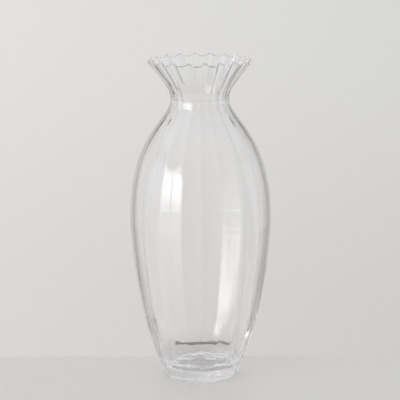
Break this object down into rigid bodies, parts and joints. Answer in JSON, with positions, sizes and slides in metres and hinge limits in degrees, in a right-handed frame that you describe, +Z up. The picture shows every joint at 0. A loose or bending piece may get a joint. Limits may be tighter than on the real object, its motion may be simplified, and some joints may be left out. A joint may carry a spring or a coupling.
{
  "type": "glass vase",
  "caption": "Clear glass flower vase with vertical flutes, a narrow neck, a flared scalloped lip and a thick solid base.",
  "frame": {"origin": "middle of the foot, on the plane that the vase stands on", "axes": "+Z up along the vase's axis, -Y towards the viewer of the front"},
  "size_m": [0.132, 0.132, 0.3],
  "materials": {
    "clear_glass": "clear, fire-polished"
  },
  "bodies": {
    "root": {"glass_vase": "clear_glass"}
  },
  "joints": []
}
